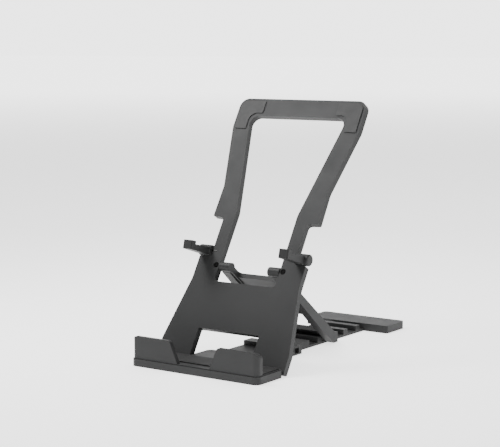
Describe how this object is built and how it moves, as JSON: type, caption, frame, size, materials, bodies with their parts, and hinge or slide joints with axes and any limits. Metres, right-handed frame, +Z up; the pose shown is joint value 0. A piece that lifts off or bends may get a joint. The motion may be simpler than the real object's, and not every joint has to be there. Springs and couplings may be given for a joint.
{
  "type": "phone_stand",
  "caption": "Folding phone stand: leaning back plate with an open frame, two lips for the phone, hook arms, and a prop standing in a notched base",
  "frame": {"origin": "middle of the footprint on the surface the stand rests on", "axes": "+X to the right across the tray, +Y to the rear, +Z up; millimetres in the parts, metres in the frame"},
  "size_m": [0.084, 0.174, 0.1385],
  "materials": {
    "abs_dark": "satin, fine-grained moulding",
    "rubber_black": "matt",
    "pin_dark": "blackened wire",
    "plug_dark": "satin",
    "corner_soft": "matt soft-touch"
  },
  "bodies": {
    "base": {"base_frame": "abs_dark", "tray_pad": "rubber_black", "fold_pin_left": "pin_dark", "fold_pin_right": "pin_dark"},
    "plate": {"back_plate": "abs_dark", "corner_pad_left": "corner_soft", "corner_pad_right": "corner_soft", "hinge_plug_left": "plug_dark", "hinge_plug_right": "plug_dark", "prop_pin_left": "pin_dark", "prop_pin_right": "pin_dark", "arm_pin_left": "pin_dark", "arm_pin_right": "pin_dark"},
    "prop": {"prop_frame": "abs_dark"},
    "arm_left": {"hook_arm_left": "abs_dark"},
    "arm_right": {"hook_arm_right": "abs_dark"}
  },
  "joints": [
    {"name": "plate_tilt", "type": "hinge", "parent": "base", "child": "plate", "pos_m": [0, -0.0623, 0.00216], "axis": [-1, 0, 0], "range_deg": [0, 52]},
    {"name": "prop_fold", "type": "hinge", "parent": "plate", "child": "prop", "pos_m": [0, -0.03435, 0.04848], "axis": [1, 0, 0], "range_deg": [0, 97]},
    {"name": "hook_left_fold", "type": "hinge", "parent": "plate", "child": "arm_left", "pos_m": [-0.0315, -0.03116, 0.05613], "axis": [-1, 0, 0], "range_deg": [0, 106]},
    {"name": "hook_right_fold", "type": "hinge", "parent": "plate", "child": "arm_right", "pos_m": [0.0315, -0.03116, 0.05613], "axis": [-1, 0, 0], "range_deg": [0, 106]}
  ],
  "couplings": [
    {"joint": "prop_fold", "follows": "plate_tilt", "ratio": 1.856}
  ]
}
